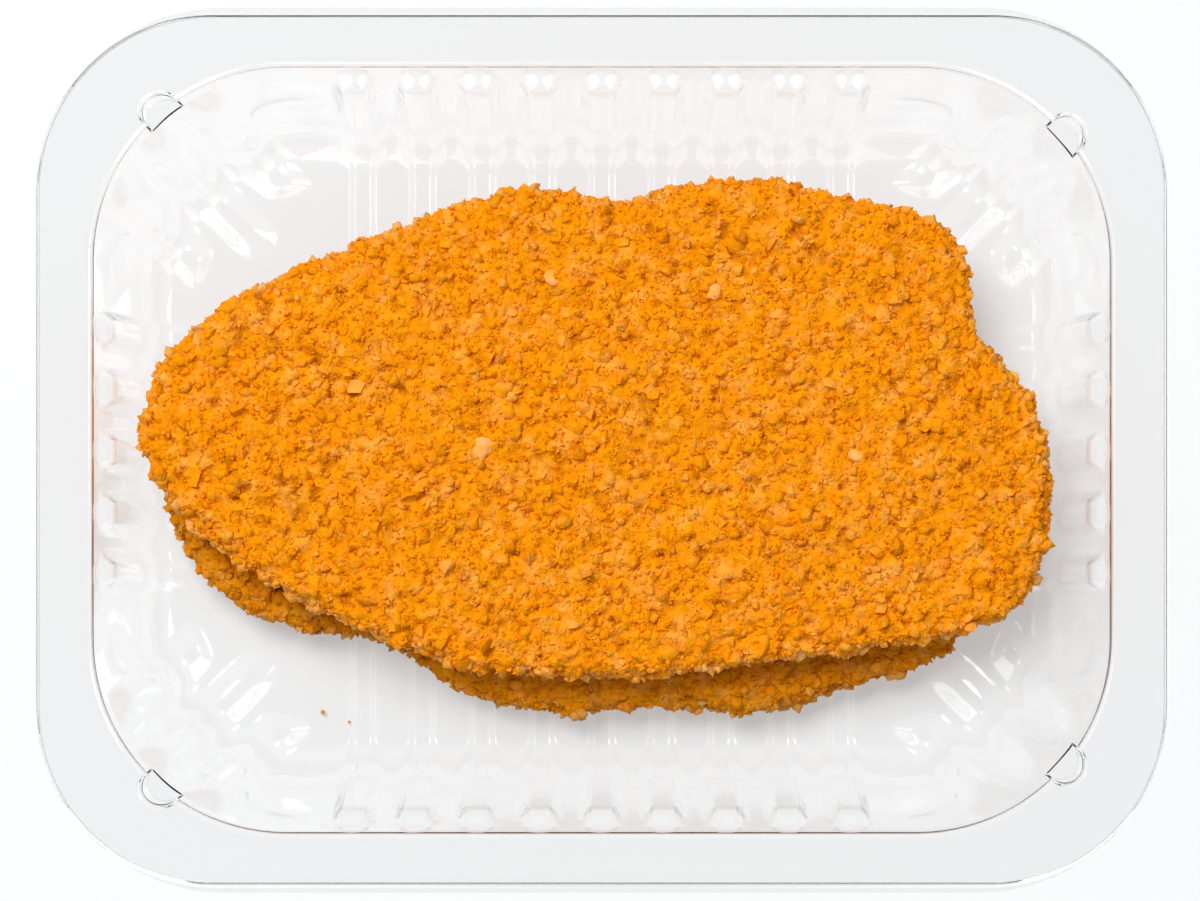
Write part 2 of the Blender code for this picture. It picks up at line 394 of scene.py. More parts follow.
def floor_rise(x, y, floor_line):
    """Height of the fingers' noses and rib tails above the floor, at its ends."""
    x, y = abs(x), abs(y)
    rise = 0.0
    place, along = (x - y) / DIAGONAL, (x + y) / DIAGONAL
    if FINGER_FIRST < place < FINGER_LAST:
        edge = floor_line.on_arc(floor_line.corner_angle(place))
        inside = max((edge[0] + edge[1]) / DIAGONAL - along, 0.0)
        number = int((place - FINGER_FIRST) // FINGER_PITCH)
        reach = inside / NOSE_LENGTHS[number]
        if reach < 1.0:
            rise = finger_push(floor_line, place) * (1.0 - soft_step(reach, 0.35, 1.0))
    if y < floor_line.centre_y:
        fade = 1.0 - soft_step(floor_line.half_x - x, 0.0, TAIL_LENGTH)
        rise = max(rise, rib_push(floor_line, SHORT_RISE, y, RIBS_SHORT) * fade)
    return rise


def inner_points(outline):
    """Points of an even grid inside an outline, a little away from it."""
    tree = KDTree(len(outline))
    for index, (x, y) in enumerate(outline):
        tree.insert((x, y, 0.0), index)
    tree.balance()
    low_x, low_y = (min(point[axis] for point in outline) for axis in (0, 1))
    high_x, high_y = (max(point[axis] for point in outline) for axis in (0, 1))
    points = []
    rows = int((high_y - low_y) / (END_GRID * ROW_SHARE))
    for row in range(1, rows):
        y = low_y + row * END_GRID * ROW_SHARE
        for step in range(int((high_x - low_x) / END_GRID) + 1):
            x = low_x + (step + (row % 2) / 2) * END_GRID
            near = tree.find((x, y, 0.0))[2]
            if near > END_GRID * 0.7 and inside(x, y, low_x, high_x):
                points.append((x, y))
    return points


def inside(x, y, low_x, high_x):
    """True for a point inside the rounded end of the floor."""
    line = LINES[-1]
    if not low_x + END_GRID / 2 < x < high_x - END_GRID / 2:
        return False
    beyond_x, beyond_y = abs(x) - line.centre_x, abs(y) - line.centre_y
    if beyond_x <= 0.0:
        return beyond_y < line.radius - END_GRID / 2
    if beyond_y <= 0.0:
        return True
    return math.hypot(beyond_x, beyond_y) < line.radius - END_GRID / 2


def add_end(bm, boundary):
    """Fill one end of the floor with small triangles, and raise noses and tails on it."""
    outline = [(vertex.co.x / MM, vertex.co.y / MM) for vertex in boundary]
    points = [Vector(point) for point in outline + inner_points(outline)]
    edges = [(index, (index + 1) % len(outline)) for index in range(len(outline))]
    made = delaunay_2d_cdt(points, edges, [], 1, 1e-6)
    corners = []
    for place, sources in zip(made[0], made[3]):
        known = [index for index in sources if index < len(boundary)]
        if known:
            corners.append(boundary[known[0]])
        else:
            height = SHEET + floor_rise(place.x, place.y, LINES[-1])
            corners.append(bm.verts.new(Vector((place.x, place.y, height)) * MM))
    for triangle in made[2]:
        bm.faces.new([corners[index] for index in triangle])


# %% [markdown]
# ### Lofting, thickening and pressing level
# Every pair of neighbouring level lines is joined with faces. The Solidify modifier
# then gives the sheet its thickness on the outside. Its even thickness keeps the wall
# from thinning where it bends. Last, the underside of the floor is pressed to one
# level, so the tray stands as flat as a real one.

# %% Build the tray
def loft_tray():
    """The tray's upper surface as a mesh without thickness."""
    bm = bmesh.new()
    rings = []
    for line in LINES:
        rings.append([bm.verts.new(Vector(point) * MM) for point in whole_line(line)])
    for outer, inner in zip(rings, rings[1:]):
        for step in range(len(outer)):
            after = (step + 1) % len(outer)
            bm.faces.new((outer[step], outer[after], inner[after], inner[step]))

    floor = rings[-1]
    count = len(floor)
    long_count = len(rib_places(RIBS_LONG))
    right = len(RIGHT_PLACES) - 1
    left = len(LEFT_PLACES) - 1
    back_start = right - long_count + 1     # the first place on the back wall
    back_end = right + long_count - 1
    for step in range(back_start, back_end):
        front = (count - step) % count
        bm.faces.new((floor[step], floor[step + 1], floor[front - 1], floor[front]))
    add_end(bm, [floor[i % count] for i in range(-back_start, back_start + 1)])
    add_end(bm, [floor[i] for i in range(back_end, count - back_end + 1)])
    bmesh.ops.recalc_face_normals(bm, faces=bm.faces)
    if sum(face.normal.z * face.calc_area() for face in bm.faces) < 0:
        bmesh.ops.reverse_faces(bm, faces=bm.faces)
    mesh = bpy.data.meshes.new("tray_sheet")
    bm.to_mesh(mesh)
    bm.free()
    return mesh


def applied(piece):
    """Make a piece's modifiers part of its mesh."""
    depsgraph = bpy.context.evaluated_depsgraph_get()
    old = piece.data
    piece.data = bpy.data.meshes.new_from_object(piece.evaluated_get(depsgraph))
    piece.modifiers.clear()
    piece.data.name = piece.name
    bpy.data.meshes.remove(old)
    return piece


def add_piece(name, mesh):
    """Put a mesh into the scene as an object."""
    piece = bpy.data.objects.new(name, mesh)
    bpy.context.scene.collection.objects.link(piece)
    return piece


tray = add_piece("clear_tray", loft_tray())
thickness = tray.modifiers.new("Sheet thickness", "SOLIDIFY")
thickness.thickness = SHEET * MM
thickness.offset = -1.0
thickness.use_even_offset = True
thickness.use_quality_normals = True
applied(tray)
for vertex in tray.data.vertices:
    if vertex.co.z < SHEET * MM / 2:
        vertex.co.z = 0.0

# %% [markdown]
# ### Marking the folds
# At the rim's outline the sheet turns down, so from above one looks along it instead of
# through it. Even clear plastic looks grey that way. The places are marked in an
# attribute, and the finish paints them grey there: a painted shade.

# %% Mark the folds and hand the tray over
FOLD_WIDTH = 0.8        # how far in from the rim's outline the sheet still counts as folded
FOLD_DROP = (SHEET + 0.15, 2.3)     # how far under the top the fold starts and ends
TRAY_EDGE = 55.0        # edges sharper than this stay crisp, in degrees


def mark_folds(mesh):
    """Remember where the sheet stands on edge at the rim, for the finish's painted shade."""
    fold = mesh.attributes.new("fold", "FLOAT", "POINT")
    for vertex, value in zip(mesh.vertices, fold.data):
        drop = HEIGHT - vertex.co.z / MM
        past_x = max(abs(vertex.co.x) / MM - (RIM[0] - RIM[2]), 0.0)
        past_y = max(abs(vertex.co.y) / MM - (RIM[1] - RIM[2]), 0.0)
        outside = math.hypot(past_x, past_y) > RIM[2] - FOLD_WIDTH
        value.value = 1.0 if outside and FOLD_DROP[0] < drop < FOLD_DROP[1] else 0.0


mark_folds(tray.data)
tray.data.shade_smooth()
tray.data.set_sharp_from_angle(angle=math.radians(TRAY_EDGE))
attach(tray, "root")
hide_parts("tray")
triangles = sum(len(face.vertices) - 2 for face in tray.data.polygons)
print("tray:", triangles, "triangles")

# %% [markdown]
# ## The breaded cuts
# Under its coat a schnitzel is a soft flat slab, and the frame already has that slab.
# What it lacks is the surface: clumps of crumbs a few millimetres wide, dips between
# them and a rough edge. A subdivided cage could carry that, but its faces are long in
# one place and short in another. The voxel Remesh modifier gives an even skin of small
# faces instead, which takes relief equally well on the top, the sides and underneath.

# %% An even skin over the frame's slab
UPPER_SKIN = 0.64       # width of the skin's faces
LOWER_SKIN = 0.95


def even_skin(node, name, face_size):
    """A piece with the frame's shape and faces of one size."""
    piece = add_piece(name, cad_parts[node].data.copy())
    piece.data.materials.clear()
    remesh = piece.modifiers.new("Even skin", "REMESH")
    remesh.mode = "VOXEL"
    remesh.voxel_size = face_size * MM
    remesh.use_smooth_shade = True
    smooth = piece.modifiers.new("Soften", "SMOOTH")
    smooth.iterations = 3
    smooth.factor = 0.5
    return applied(piece)


lower = even_skin("schnitzel_lower", "lower_coat", LOWER_SKIN)
upper = even_skin("schnitzel_upper", "upper_coat", UPPER_SKIN)
for piece in (lower, upper):
    print(piece.name, len(piece.data.polygons), "faces")

# %% [markdown]
# ### Relief of the coat
# Layers of noise, from slow to fine, make the relief. The slowest let the whole slab
# swell and sink a little. Noise of a few millimetres gathers the crumbs into clumps, and
# two finer layers make the single crumbs. Real crumbs leave dark holes between them, so
# where one more noise is high the skin is pushed in. The cut's edge gets lumps of its
# own and turns out more ragged than the top. The skin keeps the crumb layers in an
# attribute, so that the finish can paint shade into the valleys later.

# %% Relief
GRAIN_ROOM = 0.55       # the skin lies this deep, so that the grains end at the slab's surface
SLOW, SLOW_HEIGHT = 26.0, 0.6
SWELL, SWELL_HEIGHT = 9.0, 0.55
CLUMP, CLUMP_HEIGHT = 4.2, 0.8
CRUMB, CRUMB_HEIGHT = 2.1, 0.8
GRIT, GRIT_HEIGHT = 1.15, 0.75
PIT, PIT_START, PIT_DEPTH = 2.6, 0.2, 2.2    # width, how rare and how deep the holes are
EDGE_SWELL, EDGE_SWELL_HEIGHT = 7.0, 1.0     # the cut's edge is more ragged than its top
EDGE_CLUMP, EDGE_CLUMP_HEIGHT = 3.2, 0.9
LOWEST_GRAIN = SHEET + 0.9 + 0.05   # just above the ribs on the floor


def vertex_array(mesh, attribute="co"):
    """Positions or normals of a mesh as an array, positions in millimetres."""
    values = np.empty(len(mesh.vertices) * 3, dtype=np.float32)
    mesh.vertices.foreach_get(attribute, values)
    values = values.reshape(-1, 3).astype(np.float64)
    return values / MM if attribute == "co" else values


def raise_relief(piece, seed):
    """Push the skin in and out along its normals, and remember how high each point is."""
    points = vertex_array(piece.data)
    normals = vertex_array(piece.data, "normal")
    shift = Vector((seed * 31.7, seed * 17.3, seed * 5.1))
    heights = np.empty(len(points))
    crumbs = np.empty(len(points))
    for index, point in enumerate(points):
        place = Vector(point) + shift
        crumbs[index] = (
            CLUMP_HEIGHT * noise.noise(place / CLUMP)
            + CRUMB_HEIGHT * noise.noise(place / CRUMB)
            + GRIT_HEIGHT * noise.noise(place / GRIT)
            - PIT_DEPTH * max(noise.noise((place + shift) / PIT) - PIT_START, 0.0)
        )
        heights[index] = (
            SLOW_HEIGHT * noise.noise(place / SLOW)
            + SWELL_HEIGHT * noise.noise(place / SWELL)
            + crumbs[index]
            - GRAIN_ROOM
        )
        steep = 1.0 - abs(normals[index][2])
        heights[index] += steep * (
            EDGE_SWELL_HEIGHT * noise.noise(place / EDGE_SWELL)
            + EDGE_CLUMP_HEIGHT * noise.noise(place / EDGE_CLUMP)
        )
    moved = points + normals * heights[:, None]
    moved[:, 2] = np.maximum(moved[:, 2], LOWEST_GRAIN)
    moved *= MM
    piece.data.vertices.foreach_set("co", moved.astype(np.float32).ravel())
    relief = piece.data.attributes.new("relief", "FLOAT", "POINT")
    relief.data.foreach_set("value", crumbs.astype(np.float32))
    piece.data.update()
    print(piece.name, "relief from", round(heights.min(), 2), "to", round(heights.max(), 2))


raise_relief(lower, 1)
raise_relief(upper, 2)

# %% [markdown]
# ### Loose grains
# Relief alone looks like plaster: real crumbs overhang, stack up and stick out at the
# edge. So thousands of separate grains are set into the skin. Each is a small rounded
# lump with its own proportions and turn. One mesh holds all grains of a kind, which
# keeps the scene light. A particle system could scatter them too, but plain arrays let
# us decide where a grain makes no sense, such as between the two cuts.

# %% Grain shapes
def unit_lump(subdivisions):
    """Corners and triangles of a small ball: 8, 20 or 80 triangles for 0, 1 or 2."""
    bm = bmesh.new()
    if subdivisions:
        bmesh.ops.create_icosphere(bm, subdivisions=subdivisions, radius=1.0)
    else:
        bmesh.ops.create_uvsphere(bm, u_segments=4, v_segments=2, radius=1.0)
    corners = np.array([vertex.co[:] for vertex in bm.verts])
    triangles = np.array([[v.index for v in face.verts] for face in bm.faces])
    bm.free()
    return corners, triangles


for level in (0, 1, 2):
    corners, triangles = unit_lump(level)
    print("lump", level, len(corners), "corners", len(triangles), "triangles")

# %% Scattering points
NEIGHBOURS = [(x, y, z) for x in (-1, 0, 1) for y in (-1, 0, 1) for z in (-1, 0, 1)]


def scatter(piece, count, random):
    """Random points all over a piece's surface, with their normals."""
    mesh = piece.data
    mesh.calc_loop_triangles()
    corners = np.empty(len(mesh.loop_triangles) * 3, dtype=np.int32)
    mesh.loop_triangles.foreach_get("vertices", corners)
    corners = corners.reshape(-1, 3)
    points, normals = vertex_array(mesh), vertex_array(mesh, "normal")
    a, b, c = (points[corners[:, side]] for side in range(3))
    areas = np.linalg.norm(np.cross(b - a, c - a), axis=1) / 2
    chosen = random.choice(len(areas), size=count, p=areas / areas.sum())
    first, second = random.random(count), random.random(count)
    folded = first + second > 1.0
    first[folded], second[folded] = 1.0 - first[folded], 1.0 - second[folded]
    shares = np.stack([1.0 - first - second, first, second], axis=1)[:, :, None]
    picked = corners[chosen]
    places = (points[picked] * shares).sum(axis=1)
    directions = (normals[picked] * shares).sum(axis=1)
    directions /= np.linalg.norm(directions, axis=1)[:, None]
    return places, directions


def spread_out(places, spacing):
    """Which places to keep so that no two are closer than the spacing."""
    kept = {}
    chosen = []
    cells = np.floor(places / spacing).astype(int)
    for index, (place, cell) in enumerate(zip(places, cells)):
        x, y, z = cell
        near = (
            other
            for step in NEIGHBOURS
            for other in kept.get((x + step[0], y + step[1], z + step[2]), ())
        )
        if all(math.dist(place, other) >= spacing for other in near):
            kept.setdefault((x, y, z), []).append(place)
            chosen.append(index)
    return chosen


def random_turns(count, random):
    """Random rotations as matrices."""
    w, x, y, z = random.normal(size=(4, count))
    length = np.sqrt(w * w + x * x + y * y + z * z)
    w, x, y, z = w / length, x / length, y / length, z / length
    rows = [
        [1 - 2 * (y * y + z * z), 2 * (x * y - z * w), 2 * (x * z + y * w)],
        [2 * (x * y + z * w), 1 - 2 * (x * x + z * z), 2 * (y * z - x * w)],
        [2 * (x * z - y * w), 2 * (y * z + x * w), 1 - 2 * (x * x + y * y)],
    ]
    return np.array(rows).transpose(2, 0, 1)


def lumps(places, sizes, level, flatness, roughness, random):
    """All grains of a kind as one set of corners and triangles."""
    corners, triangles = unit_lump(level)
    count = len(places)
    scales = random.uniform(*flatness, size=(count, 1, 3)) * sizes[:, None, None]
    bumps = 1.0 + random.uniform(-roughness, roughness, size=(count, len(corners), 1))
    shapes = corners[None] * bumps * scales
    shapes = np.einsum("nij,nkj->nki", random_turns(count, random), shapes)
    shapes += places[:, None, :]
    faces = triangles[None] + (np.arange(count) * len(corners))[:, None, None]
    return shapes.reshape(-1, 3), faces.reshape(-1, 3)


CRUMB_EDGE = 68.0       # edges sharper than this stay crisp, in degrees


def grain_piece(name, corners, triangles):
    """A mesh piece from arrays in millimetres."""
    mesh = bpy.data.meshes.new(name)
    mesh.from_pydata((corners * MM).tolist(), [], triangles.tolist())
    mesh.shade_smooth()
    mesh.set_sharp_from_angle(angle=math.radians(CRUMB_EDGE))
    print(name, len(triangles), "triangles")
    return add_piece(name, mesh)


# %% [markdown]
# ### Where grains go
# Nobody sees the grains between the two cuts, so none are placed there: a point is
# left out if rays straight up, or straight down, from it and from a few places around
# it all meet the other cut at once. Underneath, where the coat is pressed on plastic,
# grains are small and few, and none may reach through the floor of the tray. On the
# cut's edge nothing presses them down, so they stand out further. Each grain remembers
# which way its ground faces, because the finish of the edge differs from the top's.

# %% Grain placing
COVER_REACH = 7.0       # how far round a place the other cut must lie over it
COVER_DROP = 6.0        # and how near
TOWARDS = 0.3           # ground that faces the other cut more than this may be covered
DOWNWARD = -0.5         # ground that faces down more than this is underneath
SHARE_BELOW = 0.6       # of the grains there are kept
SIZE_BELOW = 0.6        # of their size
SIZE_BIAS = 1.6         # over 1, small grains outnumber large ones
EDGE_LIFT = 0.35        # grains on the cut's edge stand out this much further


def covered(places, other, upward):
    """True where another piece lies close over (or under) a place and all round it."""
    tree = BVHTree.FromObject(other, bpy.context.evaluated_depsgraph_get())
    way = Vector((0, 0, 1 if upward else -1))
    steps = [(0, 0), (1, 0), (-1, 0), (0, 1), (0, -1)]
    hidden = np.zeros(len(places), dtype=bool)
    for index, place in enumerate(places):
        for step_x, step_y in steps:
            start = place + np.array((step_x, step_y, 0)) * COVER_REACH
            if tree.ray_cast(Vector(start * MM), way, COVER_DROP * MM)[0] is None:
                break
        else:
            hidden[index] = True
    return hidden


def sow(name, piece, other, upward, count, size, seed, sink, level=1, spacing=0.0,
        proportions=(0.6, 1.2), roughness=0.3):
    """Scatter one kind of grain over a cut and return it as a piece."""
    random = np.random.default_rng(seed)
    places, directions = scatter(piece, count, random)
    if spacing:
        chosen = spread_out(places, spacing)
        places, directions = places[chosen], directions[chosen]
    facing = directions[:, 2] if upward else -directions[:, 2]
    maybe = facing > TOWARDS
    keep = np.ones(len(places), dtype=bool)
    keep[maybe] = ~covered(places[maybe], other, upward)
    below = directions[:, 2] < DOWNWARD
    keep &= ~below | (random.random(len(places)) < SHARE_BELOW)
    places, directions, below = places[keep], directions[keep], below[keep]
    sizes = random.uniform(0.0, 1.0, len(places)) ** SIZE_BIAS
    sizes = (size[0] + (size[1] - size[0]) * sizes) / 2
    sizes[below] *= SIZE_BELOW
    steep = 1.0 - np.abs(directions[:, 2])
    lift = (random.uniform(*sink, size=len(places)) + EDGE_LIFT * steep) * sizes
    places = places + directions * lift[:, None]
    corners, triangles = lumps(places, sizes, level, proportions, roughness, random)
    corners[:, 2] = np.maximum(corners[:, 2], LOWEST_GRAIN)
    piece = grain_piece(name, corners, triangles)
    memory = piece.data.attributes.new("facing", "FLOAT", "POINT")
    per_grain = len(corners) // len(places)
    memory.data.foreach_set("value", np.repeat(directions[:, 2], per_grain).astype(np.float32))
    return piece


# %% Sow the grains
KINDS = {       # smallest and largest width, seed, and what sets the kind apart
    "crumbs": ((1.5, 3.6), 2, {"spacing": 1.35, "sink": (-1.0, -0.2), "roughness": 0.42}),
    "fine_crumbs": ((0.6, 1.3), 1, {"level": 0, "sink": (-0.6, 0.4)}),
    "flakes": ((2.2, 3.6), 3, {"sink": (-0.9, -0.3), "proportions": (0.45, 1.1)}),
}
COUNTS = {"upper": (60000, 34000, 400), "lower": (50000, 24000, 200)}
grains = {}
for which, piece, other, seed in (("upper", upper, lower, 10), ("lower", lower, upper, 20)):
    grains[which] = [
        sow(f"{which}_{kind}", piece, other, which == "lower", count, size, seed + step, **look)
        for (kind, (size, step, look)), count in zip(KINDS.items(), COUNTS[which])
    ]

# %% [markdown]
# ### Pale flakes and stray crumbs
# A few large flakes on the upper cut took up no colour, and a few crumbs have dropped
# into the tray. These are too few to scatter, so each place is listed. A ray
# straight down finds the surface that it lies on.

# %% Flakes and stray crumbs
PALE_FLAKES = ((-24.4, 0.7, 4.8), (-10.1, 35.5, 3.6), (23.1, 32.6, 3.4), (52.0, -0.6, 3.4))
STRAY_CRUMBS = ((-58.6, -53.7, 1.1), (-53.1, -55.8, 0.7))   # x, y, width
FLAKE_BUMPS = 0.22      # unevenness, as a share of the size
HALF_ACROSS = 0.4       # half the shorter width, as a share of the longer


def laid_down(name, spots, ground, thickness, above, seed):
    """Crumbs lying flat on a piece, with their middles a little above its surface."""
    random = np.random.default_rng(seed)
    tree = BVHTree.FromObject(ground, bpy.context.evaluated_depsgraph_get())
    corners, triangles = unit_lump(2)
    shapes, faces = [], []
    for number, (x, y, width) in enumerate(spots):
        hit = tree.ray_cast(Vector((x, y, HEIGHT)) * MM, Vector((0, 0, -1)))[0]
        bumps = 1.0 + random.uniform(-FLAKE_BUMPS, FLAKE_BUMPS, size=(len(corners), 1))
        shape = corners * bumps * (width / 2, width * HALF_ACROSS, width * thickness / 2)
        turn = random.uniform(0.0, math.pi)
        along, across = shape[:, 0].copy(), shape[:, 1].copy()
        shape[:, 0] = along * math.cos(turn) - across * math.sin(turn)
        shape[:, 1] = along * math.sin(turn) + across * math.cos(turn)
        shapes.append(shape + (x, y, hit.z / MM + width * above))
        faces.append(triangles + number * len(corners))
    return grain_piece(name, np.concatenate(shapes), np.concatenate(faces))


flakes = laid_down("pale_flakes", PALE_FLAKES, upper, 0.35, 0.1, 31)
strays = laid_down("stray_crumbs", STRAY_CRUMBS, tray, 0.8, 0.4, 32)
grains["lower"].append(strays)

# %% [markdown]
# ### Colour of the crumbs
# Crumbs of this kind are coloured with paprika, which gives a strong yellow orange.
# No two are alike, so the shader mixes several tones: wide soft patches, small spots,
# pale places, and a random value for each grain, which Blender's Geometry node gives
# for every separate island of a mesh. The valleys of the skin get painted shade: they
# are darker. Grains on the edge and underneath are more beige, partly because less of
# the colour reaches them and partly as painted light from the bright table. The lower
# cut is darker all over, a painted shade for lying under the upper one.

# %% Finish of the coat
# The dark tone serves random dark grains and also the painted shade in the skin's valleys.
CRUMB_DARK_AND_VALLEY_SHADE = (0.56, 0.18, 0.002)
CRUMB_MIDDLE = (0.86, 0.275, 0.0012)
CRUMB_LIGHT = (0.90, 0.335, 0.005)
CRUMB_RED = (0.85, 0.238, 0.0015)
CRUMB_PALE = (0.93, 0.45, 0.09)
# Tone for edge and underside grains: partly less paprika, partly painted light from the bright
# table below.
CRUMB_BEIGE_AND_BOUNCE_LIGHT = (0.78, 0.46, 0.15)
PATCH_SCALE, SPOT_SCALE, PALE_SCALE, GRIT_SCALE = 90.0, 480.0, 260.0, 1100.0    # to a metre
GRIT_BUMP = 0.8         # millimetres


def noise_node(tree, scale, detail, source):
    """A Noise Texture of a given scale, fed with object coordinates."""
    texture = tree.nodes.new("ShaderNodeTexNoise")
    texture.inputs["Scale"].default_value = scale
    texture.inputs["Detail"].default_value = detail
    tree.links.new(source, texture.inputs["Vector"])
    return texture.outputs["Fac"]


def stretch_node(tree, value, low, high, new_low=0.0, new_high=1.0):
    """A Map Range node."""
    stretch = tree.nodes.new("ShaderNodeMapRange")
    tree.links.new(value, stretch.inputs["Value"])
    stretch.inputs["From Min"].default_value = low
    stretch.inputs["From Max"].default_value = high
    stretch.inputs["To Min"].default_value = new_low
    stretch.inputs["To Max"].default_value = new_high
    return stretch.outputs["Result"]


def mix_node(tree, share, first, second):
    """A Mix node for colours, from sockets or plain colours."""
    mix = tree.nodes.new("ShaderNodeMix")
    mix.data_type = "RGBA"
    tree.links.new(share, mix.inputs["Factor"])
    for socket, value in ((mix.inputs[6], first), (mix.inputs[7], second)):
        if isinstance(value, tuple):
            socket.default_value = (*value, 1.0)
        else:
            tree.links.new(value, socket)
    return mix.outputs[2]


def dry_finish(name):
    """A dull material to build on: itself, its node tree, its shader and object coordinates."""
    finish = bpy.data.materials.new(name)
    finish.use_nodes = True
    tree = finish.node_tree
    shader = tree.nodes["Principled BSDF"]
    shader.inputs["Roughness"].default_value = 0.8
    shader.inputs["Specular IOR Level"].default_value = 0.03
    return finish, tree, shader, tree.nodes.new("ShaderNodeTexCoord").outputs["Object"]


def crumb_finish(name, is_skin, painted_shade):
    """Orange crumbs, for the skin of a cut or for its loose grains, darkened by a share of painted
    shade.
    """
    finish, tree, shader, place = dry_finish(name)
    patches = stretch_node(tree, noise_node(tree, PATCH_SCALE, 2.0, place), 0.38, 0.62)
    spots = stretch_node(tree, noise_node(tree, SPOT_SCALE, 3.0, place), 0.35, 0.68)
    colour = mix_node(tree, spots, CRUMB_MIDDLE, CRUMB_LIGHT)
    soft = stretch_node(tree, noise_node(tree, PALE_SCALE, 2.0, place), 0.5, 0.7, 0.0, 0.5)
    colour = mix_node(tree, soft, colour, CRUMB_PALE)
    colour = mix_node(tree, stretch_node(tree, patches, 0.0, 1.0, 0.0, 0.28), colour, CRUMB_RED)
    if is_skin:
        relief = tree.nodes.new("ShaderNodeAttribute")
        relief.attribute_name = "relief"
        # Painted shade: the lower the relief, the darker the skin.
        painted_valley_shade = stretch_node(tree, relief.outputs["Fac"], -1.0, -0.2, 1.0, 0.0)
        colour = mix_node(tree, painted_valley_shade, colour, CRUMB_DARK_AND_VALLEY_SHADE)
    else:
        island = tree.nodes.new("ShaderNodeNewGeometry").outputs["Random Per Island"]
        dark = stretch_node(tree, island, 0.0, 0.3, 0.35, 0.0)
        colour = mix_node(tree, dark, colour, CRUMB_DARK_AND_VALLEY_SHADE)
        pale = stretch_node(tree, island, 0.9, 1.0, 0.0, 0.55)
        colour = mix_node(tree, pale, colour, CRUMB_PALE)
        # Grains facing sideways or down turn paler: partly less paprika, partly painted light
        # bounced from the table.
        facing = tree.nodes.new("ShaderNodeAttribute")
        facing.attribute_name = "facing"
        edge_pale_and_bounce = stretch_node(tree, facing.outputs["Fac"], 0.45, -0.35, 0.0, 0.8)
        colour = mix_node(tree, edge_pale_and_bounce, colour, CRUMB_BEIGE_AND_BOUNCE_LIGHT)
    # The painted shade share darkens the whole colour.
    dull = tree.nodes.new("ShaderNodeHueSaturation")
    dull.inputs["Value"].default_value = 1.0 - painted_shade
    tree.links.new(colour, dull.inputs["Color"])
    tree.links.new(dull.outputs["Color"], shader.inputs["Base Color"])
    bump = tree.nodes.new("ShaderNodeBump")
    bump.inputs["Distance"].default_value = GRIT_BUMP * MM
    bump.inputs["Strength"].default_value = 0.8
    tree.links.new(noise_node(tree, GRIT_SCALE, 3.0, place), bump.inputs["Height"])
    tree.links.new(bump.outputs["Normal"], shader.inputs["Normal"])
    return finish


# The lower cut, and the stray crumbs that share its grains' finish, are darkened by a fifth as
# painted shade, for lying in the upper cut's shadow.
for which, skin, painted_shade in (("lower", lower, 0.2), ("upper", upper, 0.0)):
    skin_finish = crumb_finish("crumb_skin_" + which, True, painted_shade)
    grain_finish = crumb_finish("crumb_grains_" + which, False, painted_shade)
    for piece in (skin, *grains[which]):
        piece.data.materials.append(skin_finish if piece is skin else grain_finish)
        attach(piece, "root")
        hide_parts("schnitzel_" + which)
        piece.visible_glossy = False

# %% Finish of the pale flakes
FLAKE_PALE = (0.98, 0.44, 0.14)
FLAKE_WARM = (0.95, 0.36, 0.05)


def flake_finish():
    """Crumbs that took up little colour."""
    finish, tree, shader, place = dry_finish("pale_flakes")
    spots = stretch_node(tree, noise_node(tree, 500.0, 2.0, place), 0.4, 0.65)
    tree.links.new(mix_node(tree, spots, FLAKE_PALE, FLAKE_WARM), shader.inputs["Base Color"])
    return finish


flakes.data.materials.append(flake_finish())
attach(flakes, "root")
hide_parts("schnitzel_upper")
flakes.visible_glossy = False
print("finishes:", sorted(material.name for material in bpy.data.materials if material.users))

# %% [markdown]
# ### Clear plastic
# The plastic is real glass in Blender's terms: a Principled shader that lets
# everything through, with the index of refraction of clear PET. Light that only wants
# to reach the table passes straight through instead, as it nearly does in reality,
# because tracing it through two bent surfaces would leave the picture full of noise.
# The plastic takes away little light, except at the folds that the tray has marked, where painted
# shade greys it.

# %% Finish of the tray
CLEAR = (0.96, 0.961, 0.962)
# Painted shade: the rim's fold is tinted dark grey, where one looks along the sheet.
CLEAR_EDGE_PAINTED_SHADE = (0.32, 0.32, 0.32)     # where one looks along the sheet
REFRACTION = 1.57


def clear_plastic():
    """Clear formed plastic: glass for the eye, open for shadow rays."""
    finish = bpy.data.materials.new("clear_plastic")
    finish.use_nodes = True
    nodes, links = finish.node_tree.nodes, finish.node_tree.links
    shader = nodes["Principled BSDF"]
    fold = nodes.new("ShaderNodeAttribute")
    fold.attribute_name = "fold"
    painted_edge_shade = nodes.new("ShaderNodeMix")
    painted_edge_shade.data_type = "RGBA"
    painted_edge_shade.inputs[6].default_value = (*CLEAR, 1.0)
    painted_edge_shade.inputs[7].default_value = (*CLEAR_EDGE_PAINTED_SHADE, 1.0)
    links.new(fold.outputs["Fac"], painted_edge_shade.inputs["Factor"])
    links.new(painted_edge_shade.outputs[2], shader.inputs["Base Color"])
    shader.inputs["Transmission Weight"].default_value = 1.0
    shader.inputs["Roughness"].default_value = 0.03
    shader.inputs["IOR"].default_value = REFRACTION
    open_shader = nodes.new("ShaderNodeBsdfTransparent")
    path = nodes.new("ShaderNodeLightPath")
    seen = shader.outputs["BSDF"]
    for ray in ("Is Shadow Ray", "Is Diffuse Ray"):
        mix = nodes.new("ShaderNodeMixShader")
        links.new(path.outputs[ray], mix.inputs["Fac"])
        links.new(seen, mix.inputs[1])
        links.new(open_shader.outputs["BSDF"], mix.inputs[2])
        seen = mix.outputs["Shader"]
    links.new(seen, nodes["Material Output"].inputs["Surface"])
    return finish


tray.data.materials.append(clear_plastic())
